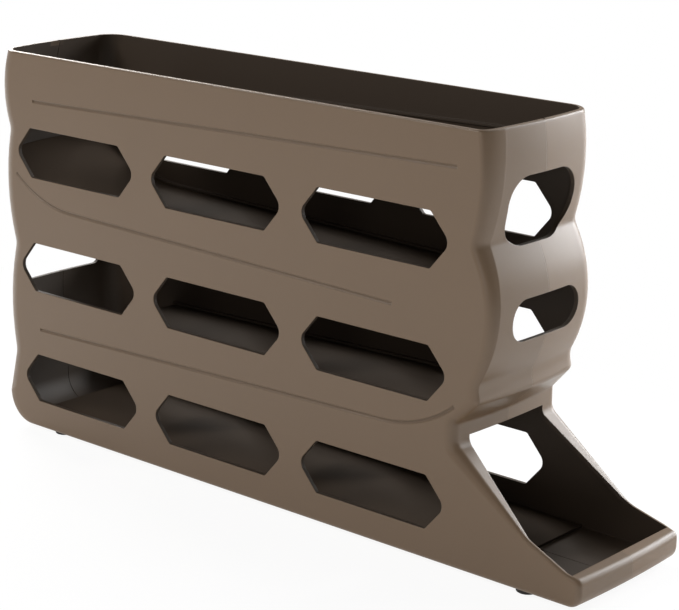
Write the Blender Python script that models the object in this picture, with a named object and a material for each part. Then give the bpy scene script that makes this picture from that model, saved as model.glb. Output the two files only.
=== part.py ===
"""Rolling egg dispenser: two moulded half shells that close round three zigzag tracks and a floor ramp.

The rim corner over the left end is the drawing's zero. X runs along the body towards the chute,
Y across it, and Z up from the underside of the shells. One empty carries the pieces and sets the
middle of the footprint over the origin, with the feet standing on Z = 0.
"""
import math
from dataclasses import dataclass

import bmesh
import bpy
from mathutils import Vector

# Overall sizes, in metres
rim_length = 0.3040
shell_width = 0.0745
shell_height = 0.1914
wall = 0.002
tier_count = 3
hopper_depth = 0.0199

# Product that rolls through: diameter of a large egg
egg_diameter = 0.045

# Clearances, and how far a cutter runs on past the surface it opens
seam_gap = 0.0003
fit = 0.0003
overrun = 0.004

# Left end wall: how far it stands out past the rim corner, and its swells as shares of their height
left_notch_height = 0.0940
left_low_setback = 0.0010
left_high_out = 0.0002
left_low_swell_share = 0.0606
left_mid_swell_share = 0.0673
left_top_swell_share = 0.0962
left_base_out = 0.0018
left_base_height = 0.038
heel_radius = 0.015

# Right end wall: how far it stands back from the rim corner, and its swells as shares of their height
right_notch_height = 0.0832
right_notch_spread = 0.0023
right_low_setback = 0.0028
right_high_setback = 0.0028
right_mid_swell_share = 0.1362
right_top_swell_share = 0.0603
skirt_drop = 0.0072
skirt_setback = 0.0013
throat_setback = 0.0141
throat_drop = 0.0118
throat_depth = 0.0105
skirt_radius = 0.003
throat_radius = 0.005
notch_radius = 0.0042

# Chute in front of the right end wall
bend_reach = 0.0246
bend_height = 0.0239
bend_radius = 0.020
lip_reach = 0.0529
lip_height = 0.0126
lip_wall = 0.0056
lip_top_radius = 0.0035
lip_bottom_radius = 0.0065
mouth_drop = 0.0064
mouth_top_width = 0.0520

# Rounding where the side faces turn into the ends, the chute and the bottom
end_roll = 0.0112
throat_roll = 0.005
cheek_roll = 0.0015
lip_roll = 0.0028
bottom_roll = 0.0015

# Lap joint that closes the two halves
tongue_wall = 0.00085
tongue_reach = 0.0015
tongue_drop = 0.0008

# Windows in the side faces: rows midway between two tracks, with plain bands and posts between them
window_band = 0.0331
window_post = 0.0102
window_point = 0.0108
window_tip_radius = 0.0050
window_corner_radius = 0.0015
window_left = 0.0118
window_right = 0.0186
window_sag = 0.00015
window_columns = 3

# Holes in the end walls: the finger hole hangs from the rim, the other two go with the tracks
finger_hole_width = 0.0460
finger_hole_height = 0.0300
finger_hole_radius = 0.0120
finger_hole_drop = 0.0364
peep_hole_width = 0.0465
peep_hole_height = 0.0186
peep_hole_drop = 0.0039
left_hole_width = 0.0516
left_hole_height = 0.0195
left_hole_radius = 0.0035
left_hole_rise = 0.0246

# Tracks: plates that lie in channels moulded inside both shells
track_slope = math.radians(1.46)
track_level = 0.0557
track_thickness = 0.0018
drop_clearance = 0.0018
catch_radius = 0.064
catch_sweep = math.radians(38.0)
left_catch_start = 0.0505
right_catch_start = 0.0539
ledge_width = 0.0025
ledge_thickness = 0.0015
keeper_width = 0.0018
keeper_thickness = 0.0012
root_depth = 0.0010
end_wall_tail = 0.020

# Creases that the channels leave in the side faces
crease_width = 0.0010
crease_depth = 0.0004
crease_left = 0.0253
crease_right = 0.0160

# Floor ramp under the last tier
ramp_slope = math.radians(0.5)
ramp_nose = 0.0009
ramp_skin = 0.0009
ramp_rib = 0.0016
ramp_bays = 5
ramp_left = 0.0135
ramp_right = 0.0170

# Feet
foot_diameter = 0.010
foot_height = 0.002
foot_recess = 0.0006
foot_edge = 0.0006
foot_inset = 0.00745
left_foot_place = 0.0332
right_foot_place = 0.0207

# Facets
arc_step = math.radians(14.0)
crown_share = 0.90
fillet_share = 0.98
least_radius = 0.0002
roll_facets = 3
round_facets = 24

# Colours of the moulded plastic and of the foot rubber
shell_colour = (0.190, 0.146, 0.108)
track_colour = (0.170, 0.130, 0.096)
foot_colour = (0.020, 0.020, 0.018)
plastic_roughness = 0.42
rubber_roughness = 0.80
smooth_angle = math.radians(35.0)

# Derived places
tier_pitch = (shell_height - hopper_depth - track_level) / (tier_count - 1)
window_pitch = (rim_length - window_left - window_right + window_post) / window_columns
window_length = window_pitch - window_post
window_height = tier_pitch - window_band
window_low = track_level - tier_pitch / 2 - window_sag
half_width = shell_width / 2
seam = seam_gap / 2
inner_half_width = half_width - wall
lip_front = rim_length + lip_reach
throat_x = rim_length - throat_setback
skirt_height = right_notch_height - skirt_drop
throat_top = skirt_height - throat_drop
throat_bottom = throat_top - throat_depth
mouth_height = throat_top - mouth_drop
drop_gap = egg_diameter + drop_clearance
ramp_underside = wall + fit


@dataclass
class Corner:
    """One corner of the side outline, with its fillet and how far the side face rounds over there.

    The wall and the two flags belong to the run that starts at the corner.
    """

    point: Vector
    fillet: float
    roll: float
    wall: float = wall
    is_rim: bool = False


@dataclass
class Track:
    """One sloping track: where its free edge lies, and where its far end turns up as a catch."""

    name: str
    level: float
    heading: int
    drop_edge: float
    crease_edge: float
    crease_end: float
    catch_start: float = 0.0
    has_catch: bool = True


def corner(x, z, fillet, roll, thickness=wall, is_rim=False):
    """Corner of the side outline at x along the body and z above the underside."""
    return Corner(Vector((x, z)), fillet, roll, thickness, is_rim)


def swell(start, end, share, roll):
    """Corner whose fillet swells outward by a share of the distance between two points of an end wall."""
    chord = end - start
    outward = Vector((chord.y, -chord.x)).normalized()
    shallow = chord.length * share / (2 - crown_share)
    radius = (chord.length_squared / 4 + shallow * shallow) / (2 * shallow)
    half_angle = math.asin(chord.length / 2 / radius)
    apex = (start + end) / 2 + outward * radius * math.tan(half_angle) * math.sin(half_angle)
    return Corner(apex, radius * crown_share, roll)


def side_corners():
    """Side outline of the body, counterclockwise from the left heel."""
    right_low = Vector((rim_length - right_low_setback, right_notch_height))
    right_high = Vector((rim_length - right_high_setback, right_notch_height + tier_pitch + right_notch_spread))
    right_rim = Vector((rim_length, shell_height))
    left_rim = Vector((0, shell_height))
    left_high = Vector((-left_high_out, left_notch_height + tier_pitch))
    left_low = Vector((left_low_setback, left_notch_height))
    left_base = Vector((-left_base_out, left_base_height))
    return [
        corner(-left_base_out, 0, heel_radius, bottom_roll),
        corner(lip_front, 0, lip_bottom_radius, lip_roll, lip_wall),
        corner(lip_front, lip_height, lip_top_radius, lip_roll),
        corner(rim_length + bend_reach, bend_height, bend_radius, cheek_roll),
        corner(throat_x, throat_bottom, throat_radius, throat_roll),
        corner(throat_x, throat_top, skirt_radius, throat_roll),
        corner(rim_length - skirt_setback, skirt_height, skirt_radius, end_roll),
        corner(right_low.x, right_low.y, notch_radius, end_roll),
        swell(right_low, right_high, right_mid_swell_share, end_roll),
        corner(right_high.x, right_high.y, notch_radius, end_roll),
        swell(right_high, right_rim, right_top_swell_share, end_roll),
        corner(right_rim.x, right_rim.y, 0, end_roll, is_rim=True),
        corner(left_rim.x, left_rim.y, 0, end_roll),
        swell(left_rim, left_high, left_top_swell_share, end_roll),
        corner(left_high.x, left_high.y, notch_radius, end_roll),
        swell(left_high, left_low, left_mid_swell_share, end_roll),
        corner(left_low.x, left_low.y, notch_radius, end_roll),
        swell(left_low, left_base, left_low_swell_share, end_roll),
        corner(left_base.x, left_base.y, heel_radius, end_roll),
    ]


def turning(points, index):
    """Angle by which the outline turns at one of its points, positive to the left."""
    here = points[index]
    arriving = here - points[index - 1]
    leaving = points[(index + 1) % len(points)] - here
    cross = arriving.x * leaving.y - arriving.y * leaving.x
    return math.atan2(cross, arriving.dot(leaving))


def rounded(points, radii, counts=None):
    """Outline through the points with an arc at each, and the index of the corner of each point.

    Fillets that would meet on a short run shrink together and leave a little of it straight.
    """
    total = len(points)
    turns = [turning(points, index) for index in range(total)]
    reaches = [radii[index] * math.tan(abs(turns[index]) / 2) for index in range(total)]
    for index in range(total):
        after = (index + 1) % total
        room = (points[after] - points[index]).length * fillet_share
        wanted = reaches[index] + reaches[after]
        if wanted > room:
            reaches[index] *= room / wanted
            reaches[after] *= room / wanted
    outline = []
    owners = []
    for index in range(total):
        here = points[index]
        if reaches[index] == 0:
            outline.append(here.copy())
            owners.append(index)
            continue
        arriving = (here - points[index - 1]).normalized()
        side = math.copysign(1, turns[index])
        radius = reaches[index] / math.tan(abs(turns[index]) / 2)
        start = here - arriving * reaches[index]
        centre = start + Vector((-arriving.y, arriving.x)) * radius * side
        count = counts[index] if counts else facet_count(turns[index])
        for step in range(count + 1):
            angle = turns[index] * step / count
            spoke = start - centre
            outline.append(centre + turned(spoke, angle))
            owners.append(index)
    return outline, owners


def turned(vector, angle):
    """Flat vector turned to the left by an angle."""
    cosine = math.cos(angle)
    sine = math.sin(angle)
    return Vector((vector.x * cosine - vector.y * sine, vector.x * sine + vector.y * cosine))


def facet_count(turn):
    """Number of facets for a fillet that turns by an angle."""
    return max(1, math.ceil(abs(turn) / arc_step))


def moved_in(points, starts, ends):
    """Outline moved inward, each run by one amount at its start and one at its end."""
    total = len(points)
    lines = []
    for index in range(total):
        here = points[index]
        after = points[(index + 1) % total]
        along = (after - here).normalized()
        inward = Vector((-along.y, along.x))
        lines.append((here + inward * starts[index], after + inward * ends[index]))
    return [crossing(lines[index - 1], lines[index]) for index in range(total)]


def crossing(first, second):
    """Point where two lines, each through two points, cross."""
    start = first[0]
    along = first[1] - first[0]
    other = second[1] - second[0]
    offset = second[0] - start
    cross = along.x * other.y - along.y * other.x
    share = (offset.x * other.y - offset.y * other.x) / cross
    return start + along * share


def inset_radius(radius, turn, amount):
    """Radius of a fillet after its outline moved inward by an amount."""
    if radius == 0:
        return 0
    return max(radius - math.copysign(amount, turn), least_radius)


class Section:
    """Side outline of the body moved inward by its walls, from which every shell surface is lofted."""

    def __init__(self, amount_of_wall, extra, rim_amount):
        """Move every run in by a share of its own wall plus an extra, and the rim by its own amount."""
        corners = side_corners()
        base = [item.point for item in corners]
        self.turns = [turning(base, index) for index in range(len(base))]
        self.counts = [facet_count(turn) for turn in self.turns]
        amounts = [item.wall * amount_of_wall + extra for item in corners]
        moves = [rim_amount if item.is_rim else amount for item, amount in zip(corners, amounts)]
        self.is_rim = [item.is_rim for item in corners]
        self.points = moved_in(base, moves, moves)
        self.radii = [
            inset_radius(item.fillet, turn, amount)
            for item, turn, amount in zip(corners, self.turns, amounts)
        ]
        self.rolls = [max(item.roll - amount, least_radius) for item, amount in zip(corners, amounts)]

    def outline(self):
        """Outline of the section where it runs straight across the body."""
        return rounded(self.points, self.radii, self.counts)[0]

    def face_rings(self, face):
        """Rings that round the section over from a flat side face at y = face to its full outline."""
        side = math.copysign(1, face)
        rings = []
        for step in range(roll_facets + 1):
            angle = math.pi / 2 * step / roll_facets
            shrink = 1 - math.sin(angle)
            starts = [roll * shrink for roll in self.rolls]
            ends = starts[1:] + starts[:1]
            starts = [0 if rim else amount for rim, amount in zip(self.is_rim, starts)]
            ends = [0 if rim else amount for rim, amount in zip(self.is_rim, ends)]
            points = moved_in(self.points, starts, ends)
            radii = [
                inset_radius(radius, turn, roll * shrink)
                for radius, turn, roll in zip(self.radii, self.turns, self.rolls)
            ]
            outline, owners = rounded(points, radii, self.counts)
            drop = 1 - math.cos(angle)
            rings.append([
                Vector((point.x, face - side * self.rolls[owner] * drop, point.y))
                for point, owner in zip(outline, owners)
            ])
        return rings

    def ring(self, y):
        """Full outline of the section as a ring at y."""
        return [Vector((point.x, y, point.y)) for point in self.outline()]


def make_mesh_object(name, mesh_data):
    """Object with the mesh of a bmesh whose faces are turned outward."""
    bmesh.ops.recalc_face_normals(mesh_data, faces=mesh_data.faces)
    mesh = bpy.data.meshes.new(name)
    mesh_data.to_mesh(mesh)
    mesh_data.free()
    item = bpy.data.objects.new(name, mesh)
    bpy.context.scene.collection.objects.link(item)
    item.parent = carrier
    return item


def add_loft(mesh_data, rings):
    """Closed solid through rings of equal count, with a flat cap on the first and on the last."""
    verts = [[mesh_data.verts.new(point) for point in ring] for ring in rings]
    total = len(rings[0])
    for lower, upper in zip(verts, verts[1:]):
        for index in range(total):
            after = (index + 1) % total
            mesh_data.faces.new((lower[index], lower[after], upper[after], upper[index]))
    mesh_data.faces.new(reversed(verts[0]))
    mesh_data.faces.new(verts[-1])


def add_prism(mesh_data, outline, low, high, place):
    """Closed solid of a flat outline carried from low to high, with place turning it into space."""
    add_loft(mesh_data, [[place(point, low) for point in outline], [place(point, high) for point in outline]])


def across(point, y):
    """Point of a side outline at y across the body."""
    return Vector((point.x, y, point.y))


def lengthwise(point, x):
    """Point of an end outline at x along the body."""
    return Vector((x, point.x, point.y))


def upward(point, z):
    """Point of a plan outline at height z."""
    return Vector((point.x, point.y, z))


def guide(name, mesh_data):
    """Helper solid that only cuts or joins: shown as wire and never rendered."""
    item = make_mesh_object(name, mesh_data)
    item.display_type = "WIRE"
    item.hide_render = True
    return item


def add_boolean(item, operand, operation):
    """Boolean modifier on an object with the exact solver."""
    modifier = item.modifiers.new(operand.name, "BOOLEAN")
    modifier.operation = operation
    modifier.solver = "EXACT"
    modifier.object = operand


def finish(item, colour, roughness):
    """Own plastic or rubber material and smooth shading for one piece."""
    material = bpy.data.materials.new(item.name)
    material.use_nodes = True
    shader = material.node_tree.nodes["Principled BSDF"]
    shader.inputs["Base Color"].default_value = (*colour, 1.0)
    shader.inputs["Roughness"].default_value = roughness
    shader.inputs["Metallic"].default_value = 0.0
    item.data.materials.append(material)
    item.data.shade_smooth()
    item.data.set_sharp_from_angle(angle=smooth_angle)


def track_list():
    """The three zigzag tracks from the lowest to the highest."""
    left_inner = wall - left_base_out
    right_inner = rim_length - right_high_setback
    return [
        Track("track_lower", track_level, 1, left_inner + drop_gap, crease_left,
              rim_length, rim_length - right_catch_start),
        Track("track_middle", track_level + tier_pitch, -1, right_inner - drop_gap,
              right_inner - drop_gap, 0, left_catch_start),
        Track("track_upper", track_level + 2 * tier_pitch, 1, left_inner + drop_gap, crease_left,
              rim_length - crease_right, rim_length, has_catch=False),
    ]


def track_path(track, start, tail):
    """Underside line of a track from x = start to its far end, as points along the body.

    The straight part climbs away from the drop gap. A catch turns up on a wide arc, and the tail
    carries its last direction on.
    """
    rise = math.tan(track_slope) * track.heading
    middle = rim_length / 2
    end = track.catch_start
    points = [
        Vector((start, track.level + rise * (start - middle))),
        Vector((end, track.level + rise * (end - middle))),
    ]
    heading = track_slope
    if track.has_catch:
        foot = points[-1]
        count = facet_count(catch_sweep)
        for step in range(1, count + 1):
            angle = track_slope + catch_sweep * step / count
            along = (math.sin(angle) - math.sin(track_slope)) * catch_radius
            up = (math.cos(track_slope) - math.cos(angle)) * catch_radius
            points.append(Vector((foot.x + along * track.heading, foot.y + up)))
        heading = track_slope + catch_sweep
    if tail > 0:
        last = points[-1]
        step = Vector((math.cos(heading) * track.heading, math.sin(heading))) * tail
        points.append(last + step)
    return points


def ribbon(path, bottom, top):
    """Outline of a strip along a path, between two distances above it."""
    normals = []
    for index in range(len(path)):
        before = path[max(index - 1, 0)]
        after = path[min(index + 1, len(path) - 1)]
        along = (after - before).normalized()
        normal = Vector((-along.y, along.x))
        normals.append(normal if normal.y > 0 else -normal)
    under = [point + normal * bottom for point, normal in zip(path, normals)]
    over = [point + normal * top for point, normal in zip(path, normals)]
    return under + over[::-1]


def make_core(name, amount_of_wall, extra):
    """Guide that fills the body from side to side up to a distance from its outer surface."""
    section = Section(amount_of_wall, extra, -overrun)
    face = half_width - wall * amount_of_wall - extra
    rings = section.face_rings(-face) + section.face_rings(face)[::-1]
    mesh_data = bmesh.new()
    add_loft(mesh_data, rings)
    return guide(name, mesh_data)


def make_outer(name, side):
    """Outside of one half shell as a solid. The front half also carries the tongue of the lap joint."""
    section = Section(0, 0, 0)
    rings = section.face_rings(side * half_width)
    rings.append(section.ring(side * seam))
    if side < 0:
        tongue = Section(1, -tongue_wall, tongue_drop)
        rings.append(tongue.ring(-seam))
        rings.append(tongue.ring(tongue_reach))
    mesh_data = bmesh.new()
    add_loft(mesh_data, rings)
    return make_mesh_object(name, mesh_data)


def make_cavity(name, side):
    """Hollow of one half shell. The rear one steps out beside the seam to take the tongue."""
    section = Section(1, 0, -overrun)
    rings = section.face_rings(side * inner_half_width)
    if side < 0:
        rings.append(section.ring(tongue_reach + overrun))
    else:
        rebate = Section(1, -tongue_wall - fit, -2 * overrun)
        rings.append(section.ring(tongue_reach + fit))
        rings.append(rebate.ring(tongue_reach + fit))
        rings.append(rebate.ring(-overrun))
    mesh_data = bmesh.new()
    add_loft(mesh_data, rings)
    return guide(name, mesh_data)


def window_outline(x, z):
    """Long hexagon with rounded points, its left point at x and its middle at height z."""
    half = window_height / 2
    points = [
        Vector((x, z)),
        Vector((x + window_point, z - half)),
        Vector((x + window_length - window_point, z - half)),
        Vector((x + window_length, z)),
        Vector((x + window_length - window_point, z + half)),
        Vector((x + window_point, z + half)),
    ]
    side_radii = [window_corner_radius, window_corner_radius]
    radii = [window_tip_radius] + side_radii + [window_tip_radius] + side_radii
    return rounded(points, radii)[0]


def make_windows(name, side):
    """Cutters of all windows in one side face."""
    mesh_data = bmesh.new()
    outside = side * (half_width + overrun)
    inside = side * (inner_half_width - ledge_width - overrun)
    for row in range(tier_count):
        for column in range(window_columns):
            outline = window_outline(window_left + column * window_pitch, window_low + row * tier_pitch)
            add_prism(mesh_data, outline, inside, outside, across)
    return guide(name, mesh_data)


def rounded_box(width, height, level, radius):
    """Rounded rectangle about the middle plane of the body, its middle at a height."""
    half = width / 2
    points = [
        Vector((-half, level - height / 2)),
        Vector((half, level - height / 2)),
        Vector((half, level + height / 2)),
        Vector((-half, level + height / 2)),
    ]
    return rounded(points, [radius] * len(points))[0]


def make_end_holes(name):
    """Cutters of the finger hole and the peep hole in the right end wall, and of the slot in the left."""
    mesh_data = bmesh.new()
    finger_level = shell_height - finger_hole_drop
    peep_level = track_level + tier_pitch - peep_hole_drop
    slot_level = track_level + left_hole_rise
    finger = rounded_box(finger_hole_width, finger_hole_height, finger_level, finger_hole_radius)
    peep = rounded_box(peep_hole_width, peep_hole_height, peep_level, peep_hole_height / 2)
    slot = rounded_box(left_hole_width, left_hole_height, slot_level, left_hole_radius)
    add_prism(mesh_data, finger, throat_x, lip_front, lengthwise)
    add_prism(mesh_data, peep, throat_x, lip_front, lengthwise)
    add_prism(mesh_data, slot, -throat_setback, throat_setback, lengthwise)
    return guide(name, mesh_data)


def make_mouth(name):
    """Cutter of the chute mouth: narrow under the end wall, and as wide as the cavity at the lip."""
    half = mouth_top_width / 2
    back = throat_x - wall - overrun
    bend = rim_length + bend_reach
    front = lip_front - lip_wall
    points = [
        Vector((back, -half)),
        Vector((throat_x, -half)),
        Vector((bend, -inner_half_width)),
        Vector((front, -inner_half_width)),
        Vector((front, inner_half_width)),
        Vector((bend, inner_half_width)),
        Vector((throat_x, half)),
        Vector((back, half)),
    ]
    mesh_data = bmesh.new()
    add_prism(mesh_data, points, wall + overrun, mouth_height, upward)
    return guide(name, mesh_data)


def make_creases(name, side):
    """Cutters of the shallow creases that trace the channels on one side face."""
    mesh_data = bmesh.new()
    outside = side * (half_width + overrun)
    inside = side * (half_width - crease_depth)
    for track in track_list():
        path = track_path(track, track.crease_edge, 0)
        if not track.has_catch:
            path[-1] = track_path(track, track.crease_end, 0)[0]
        outline = ribbon(path, -crease_width / 2, crease_width / 2)
        add_prism(mesh_data, outline, inside, outside, across)
    return guide(name, mesh_data)


def make_channels(name, side, core):
    """Ledge and keeper rib of every track, rooted in the walls of one half shell."""
    mesh_data = bmesh.new()
    outside = side * half_width
    for track in track_list():
        path = track_path(track, track.drop_edge, end_wall_tail)
        ledge = ribbon(path, -fit - ledge_thickness, -fit)
        keeper = ribbon(path, track_thickness + fit, track_thickness + fit + keeper_thickness)
        add_prism(mesh_data, ledge, side * (inner_half_width - ledge_width), outside, across)
        add_prism(mesh_data, keeper, side * (inner_half_width - keeper_width), outside, across)
    item = guide(name, mesh_data)
    add_boolean(item, core, "INTERSECT")
    return item


def foot_places():
    """Middle of each foot in plan, with the name of its place."""
    offset = half_width - foot_inset
    left = left_foot_place
    right = rim_length + right_foot_place
    return [
        ("front_left", left, -offset),
        ("front_right", right, -offset),
        ("rear_left", left, offset),
        ("rear_right", right, offset),
    ]


def circle(x, y, radius):
    """Round plan outline about a point."""
    angles = [2 * math.pi * step / round_facets for step in range(round_facets)]
    return [Vector((x + radius * math.cos(angle), y + radius * math.sin(angle))) for angle in angles]


def make_foot_seats(name):
    """Cutters of the shallow recesses that the feet sit in."""
    mesh_data = bmesh.new()
    for _, x, y in foot_places():
        outline = circle(x, y, foot_diameter / 2 + fit)
        add_prism(mesh_data, outline, -overrun, foot_recess, upward)
    return guide(name, mesh_data)


def make_shell(name, side, shared_cuts, root):
    """One half shell: hollow, channels inside, then the mouth, holes, windows, creases and foot seats."""
    shell = make_outer(name, side)
    add_boolean(shell, make_cavity(name + "_cavity", side), "DIFFERENCE")
    add_boolean(shell, make_channels(name + "_channels", side, root), "UNION")
    for cutter in shared_cuts:
        add_boolean(shell, cutter, "DIFFERENCE")
    add_boolean(shell, make_windows(name + "_windows", side), "DIFFERENCE")
    add_boolean(shell, make_creases(name + "_creases", side), "DIFFERENCE")
    finish(shell, shell_colour, plastic_roughness)
    return shell


def make_track(track, room):
    """One track plate, cut to the room between the walls."""
    path = track_path(track, track.drop_edge, end_wall_tail)
    outline = ribbon(path, 0, track_thickness)
    mesh_data = bmesh.new()
    add_prism(mesh_data, outline, -half_width, half_width, across)
    item = make_mesh_object(track.name, mesh_data)
    add_boolean(item, room, "INTERSECT")
    finish(item, track_colour, plastic_roughness)
    return item


def make_ramp(room):
    """Floor ramp: a thin sloping skin on cross ribs that stand on the floor of the shells."""
    right = throat_x + ramp_right
    bay = (right - ramp_left) / ramp_bays
    slope = math.tan(ramp_slope)

    def top(x):
        return ramp_underside + ramp_nose + slope * (right - x)

    points = [Vector((ramp_left, ramp_underside))]
    for index in range(ramp_bays - 1):
        start = ramp_left + index * bay + ramp_rib
        end = ramp_left + (index + 1) * bay
        points += [
            Vector((start, ramp_underside)),
            Vector((start, top(start) - ramp_skin)),
            Vector((end, top(end) - ramp_skin)),
            Vector((end, ramp_underside)),
        ]
    points += [
        Vector((right, ramp_underside)),
        Vector((right, top(right))),
        Vector((ramp_left, top(ramp_left))),
    ]
    mesh_data = bmesh.new()
    add_prism(mesh_data, points, -half_width, half_width, across)
    item = make_mesh_object("floor_ramp", mesh_data)
    add_boolean(item, room, "INTERSECT")
    finish(item, track_colour, plastic_roughness)
    return item


def make_foot(place, x, y):
    """Round rubber foot with a rounded lower edge, its top in the recess of the shell."""
    radius = foot_diameter / 2
    top = foot_height + foot_recess - fit
    rings = [
        [Vector((point.x, point.y, 0)) for point in circle(0, 0, radius - foot_edge)],
        [Vector((point.x, point.y, foot_edge)) for point in circle(0, 0, radius)],
        [Vector((point.x, point.y, top)) for point in circle(0, 0, radius)],
    ]
    mesh_data = bmesh.new()
    add_loft(mesh_data, rings)
    item = make_mesh_object("foot_" + place, mesh_data)
    item.location = (x, y, -foot_height)
    finish(item, foot_colour, rubber_roughness)
    return item


def build():
    """Every piece of the dispenser, in the order it goes together on a bench."""
    outline = Section(0, 0, 0).outline()
    left_end = min(point.x for point in outline)
    right_end = max(point.x for point in outline)
    carrier.location = (-(left_end + right_end) / 2, 0, foot_height)
    room = make_core("room_between_walls", 1, fit)
    root = make_core("root_of_channels", 1, -root_depth)
    shared_cuts = [make_mouth("chute_mouth"), make_end_holes("end_holes"), make_foot_seats("foot_seats")]
    make_shell("front_shell", -1, shared_cuts, root)
    make_shell("rear_shell", 1, shared_cuts, root)
    for track in track_list():
        make_track(track, room)
    make_ramp(room)
    for place, x, y in foot_places():
        make_foot(place, x, y)


for leftover in list(bpy.data.objects):
    bpy.data.objects.remove(leftover, do_unlink=True)

carrier = bpy.data.objects.new("dispenser", None)
bpy.context.scene.collection.objects.link(carrier)
build()
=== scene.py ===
"""Looks of the rolling egg dispenser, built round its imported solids.

Each half shell, track, the floor ramp and each foot is modelled again at the sizes of the solids, with
smooth rolls, a rounded rim and softened openings, and gets its own moulded or rubber finish.
Lengths are in metres. The drawing's zero is the left rim corner at the underside of the shells, and
Drawing.place sets every finished mesh into the frame.
"""

import logging
import math
from dataclasses import dataclass, replace
from enum import Enum
from typing import Callable, Iterable, Sequence

import bmesh
import bpy
from mathutils import Matrix, Vector
from mathutils.bvhtree import BVHTree


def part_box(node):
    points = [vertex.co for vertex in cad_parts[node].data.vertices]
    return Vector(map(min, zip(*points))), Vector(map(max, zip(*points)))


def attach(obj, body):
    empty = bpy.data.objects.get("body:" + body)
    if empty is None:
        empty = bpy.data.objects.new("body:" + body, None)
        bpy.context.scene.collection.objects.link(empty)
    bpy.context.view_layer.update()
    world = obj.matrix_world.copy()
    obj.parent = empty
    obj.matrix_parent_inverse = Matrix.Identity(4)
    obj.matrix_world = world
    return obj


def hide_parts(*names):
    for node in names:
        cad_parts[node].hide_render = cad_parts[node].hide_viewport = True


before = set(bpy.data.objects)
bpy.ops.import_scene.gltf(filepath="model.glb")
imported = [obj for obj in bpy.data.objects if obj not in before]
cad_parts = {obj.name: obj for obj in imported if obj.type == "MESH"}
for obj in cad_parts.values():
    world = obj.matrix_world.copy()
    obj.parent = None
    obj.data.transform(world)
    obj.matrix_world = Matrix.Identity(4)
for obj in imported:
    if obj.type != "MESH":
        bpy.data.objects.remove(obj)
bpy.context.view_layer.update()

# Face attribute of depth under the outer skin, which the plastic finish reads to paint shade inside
DEPTH_NAME = "depth_in_wall"
LOG = logging.getLogger("dispenser")
# Distances within which places count as one, points are welded, and slivers are dissolved
TINY = 1e-5
WELD, FINE_WELD, SLIVER = TINY / 2, TINY / 10, TINY / 4
# Shares of a unit normal along an axis: edge-on to it, leaning off it, nearly along it and along it
EDGE_ON, LEANING, NEARLY_ALONG, ALONG = 0.02, 0.4, 0.99, 0.999
SHARP_ANGLE = math.radians(32.0)
WHITE = (1.0, 1.0, 1.0, 1.0)
WARM_LIGHT, COOL_LIGHT = (1.0, 0.975, 0.95), (0.96, 0.98, 1.0)

Place = tuple[float, float, float]
Rgb = tuple[float, float, float]
Colour = Rgb | bpy.types.NodeSocket


class Side(Enum):
    """The half shells, by the way their side face looks along Y."""

    FRONT = -1
    REAR = 1


class Heading(Enum):
    """The way a track climbs along X from its drop edge."""

    TO_CHUTE = 1
    FROM_CHUTE = -1


class Step(Enum):
    """What a boolean step does to a piece with its tools."""

    CUT = "DIFFERENCE"
    JOIN = "UNION"
    TRIM = "INTERSECT"


class Signal:
    """A number socket of a shader. Arithmetic on it adds the Math nodes that it needs."""

    def __init__(self, board: "NodeBoard", socket: bpy.types.NodeSocket) -> None:
        """Wrap one output socket of a node tree."""
        self.board = board
        self.socket = socket

    def _math(self, operation: str, first: "Signal | float", second: "Signal | float") -> "Signal":
        """Result of one Math node on two values."""
        node = self.board.node("ShaderNodeMath", {"operation": operation}, {0: first, 1: second})
        return Signal(self.board, node.outputs[0])

    def __add__(self, other: "Signal | float") -> "Signal":
        """Sum of the two."""
        return self._math("ADD", self, other)

    def __radd__(self, other: "Signal | float") -> "Signal":
        """Sum of the two."""
        return self._math("ADD", other, self)

    def __sub__(self, other: "Signal | float") -> "Signal":
        """This less the other."""
        return self._math("SUBTRACT", self, other)

    def __rsub__(self, other: "Signal | float") -> "Signal":
        """The other less this."""
        return self._math("SUBTRACT", other, self)

    def __mul__(self, other: "Signal | float") -> "Signal":
        """Product of the two."""
        return self._math("MULTIPLY", self, other)

    def __rmul__(self, other: "Signal | float") -> "Signal":
        """Product of the two."""
        return self._math("MULTIPLY", other, self)

    def stepped(self, low: float, high: float) -> "Signal":
        """Smooth step over the value.

        Args:
            low: value up to which the step is 0.
            high: value from which it is 1.

        Returns:
            The step.
        """
        settings = {"interpolation_type": "SMOOTHSTEP"}
        node = self.board.node("ShaderNodeMapRange", settings, {"Value": self, "From Min": low, "From Max": high})
        return Signal(self.board, node.outputs["Result"])


class NodeBoard:
    """A node tree while its nodes are laid."""

    def __init__(self, tree: bpy.types.NodeTree) -> None:
        """Keep the tree."""
        self.tree = tree

    def node(self, kind: str, settings: dict, inputs: dict) -> bpy.types.Node:
        """Add one node.

        Args:
            kind: type of the node.
            settings: properties of the node, set before its sockets.
            inputs: value, Signal or socket for each named or numbered input.

        Returns:
            The new node.
        """
        node = self.tree.nodes.new(kind)
        for key, value in settings.items():
            setattr(node, key, value)
        for key, value in inputs.items():
            self.feed(node.inputs[key], value)
        return node

    def feed(self, target: bpy.types.NodeSocket, value: object) -> None:
        """Set an input socket or link something to it.

        Args:
            target: the input socket.
            value: number or colour to set, or Signal or socket to link.
        """
        if isinstance(value, Signal):
            self.tree.links.new(value.socket, target)
        elif isinstance(value, bpy.types.NodeSocket):
            self.tree.links.new(value, target)
        else:
            target.default_value = value


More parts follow.
